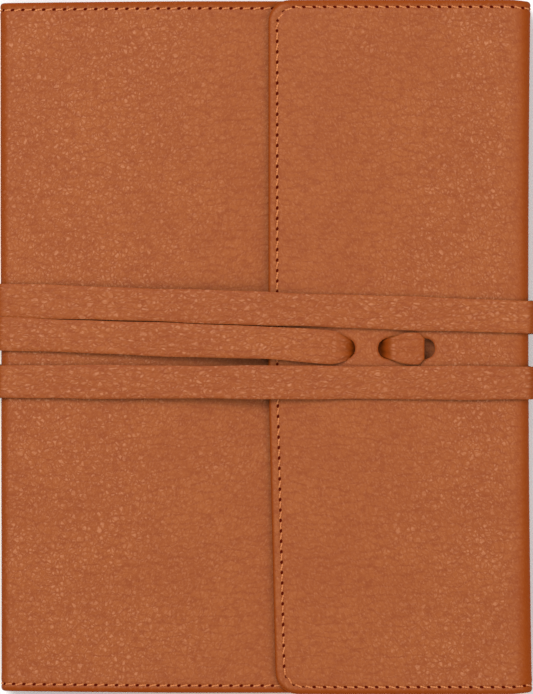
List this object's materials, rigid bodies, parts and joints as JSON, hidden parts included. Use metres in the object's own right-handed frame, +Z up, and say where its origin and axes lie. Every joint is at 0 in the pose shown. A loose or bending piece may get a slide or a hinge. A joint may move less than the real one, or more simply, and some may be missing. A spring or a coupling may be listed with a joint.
{
  "type": "leather notebook cover",
  "caption": "Soft leather wrap cover with a stitched fold-over flap and a wound leather strap, holding a paper notebook.",
  "frame": {"origin": "on the table under the middle of the closed cover, lying on its back", "axes": "+X from the spine to the fore-edge, +Y up the page, +Z up through the thickness to the flap"},
  "size_m": [0.1706, 0.22, 0.0241],
  "materials": {
    "hide": "pebbled full-grain, semi-matte",
    "strap_hide": "pebbled, drawn out along the strap",
    "lining": "smooth split, matte",
    "board": "grey bookbinding board, matte",
    "card": "kraft card, matte",
    "paper": "uncoated cream paper",
    "tape": "woven book cloth",
    "thread": "waxed polyester thread"
  },
  "bodies": {
    "root": {"back_leather": "hide", "back_board": "board", "back_lining": "lining", "back_pocket": "lining", "back_stitching": "thread", "spine_leather": "hide", "spine_lining": "lining", "spine_stitching": "thread", "notebook_back_card": "card", "notebook_pages": "paper", "notebook_spine_tape": "tape", "strap_back_first": "strap_hide", "strap_back_second": "strap_hide", "strap_back_third": "strap_hide"},
    "front_cover": {"front_leather": "hide", "front_board": "board", "front_lining": "lining", "front_pocket": "lining", "front_stitching": "thread", "notebook_front_card": "card"},
    "fore_edge": {"fore_edge_leather": "hide", "fore_edge_lining": "lining", "fore_edge_stitching": "thread"},
    "flap": {"flap_leather": "hide", "flap_lining": "lining", "flap_stitching": "thread", "strap_anchor_tail": "strap_hide", "strap_front_middle": "strap_hide", "strap_front_upper": "strap_hide", "strap_front_lower": "strap_hide", "strap_spine_turns": "strap_hide", "strap_fore_edge_turns": "strap_hide"}
  },
  "joints": [
    {"name": "cover_open", "type": "hinge", "parent": "root", "child": "front_cover", "pos_m": [-0.0828, 0, 0.0172], "axis": [0, -1, 0], "range_deg": [0, 179], "deforming": ["spine_leather", "spine_lining", "spine_stitching"]},
    {"name": "fore_edge_fold", "type": "hinge", "parent": "root", "child": "fore_edge", "pos_m": [0.0834, 0, 0.003], "axis": [0, 1, 0], "range_deg": [0, 90], "deforming": ["fore_edge_leather", "fore_edge_lining", "fore_edge_stitching"]},
    {"name": "flap_fold", "type": "hinge", "parent": "fore_edge", "child": "flap", "pos_m": [0.0834, 0, 0.0219], "axis": [0, 1, 0], "range_deg": [0, 90], "deforming": ["flap_leather", "flap_lining", "flap_stitching", "strap_anchor_tail", "strap_front_middle", "strap_front_upper", "strap_front_lower", "strap_spine_turns", "strap_fore_edge_turns"]}
  ],
  "couplings": [
    {"joint": "fore_edge_fold", "follows": "cover_open", "ratio": 0.50279},
    {"joint": "flap_fold", "follows": "cover_open", "ratio": 0.50279}
  ]
}
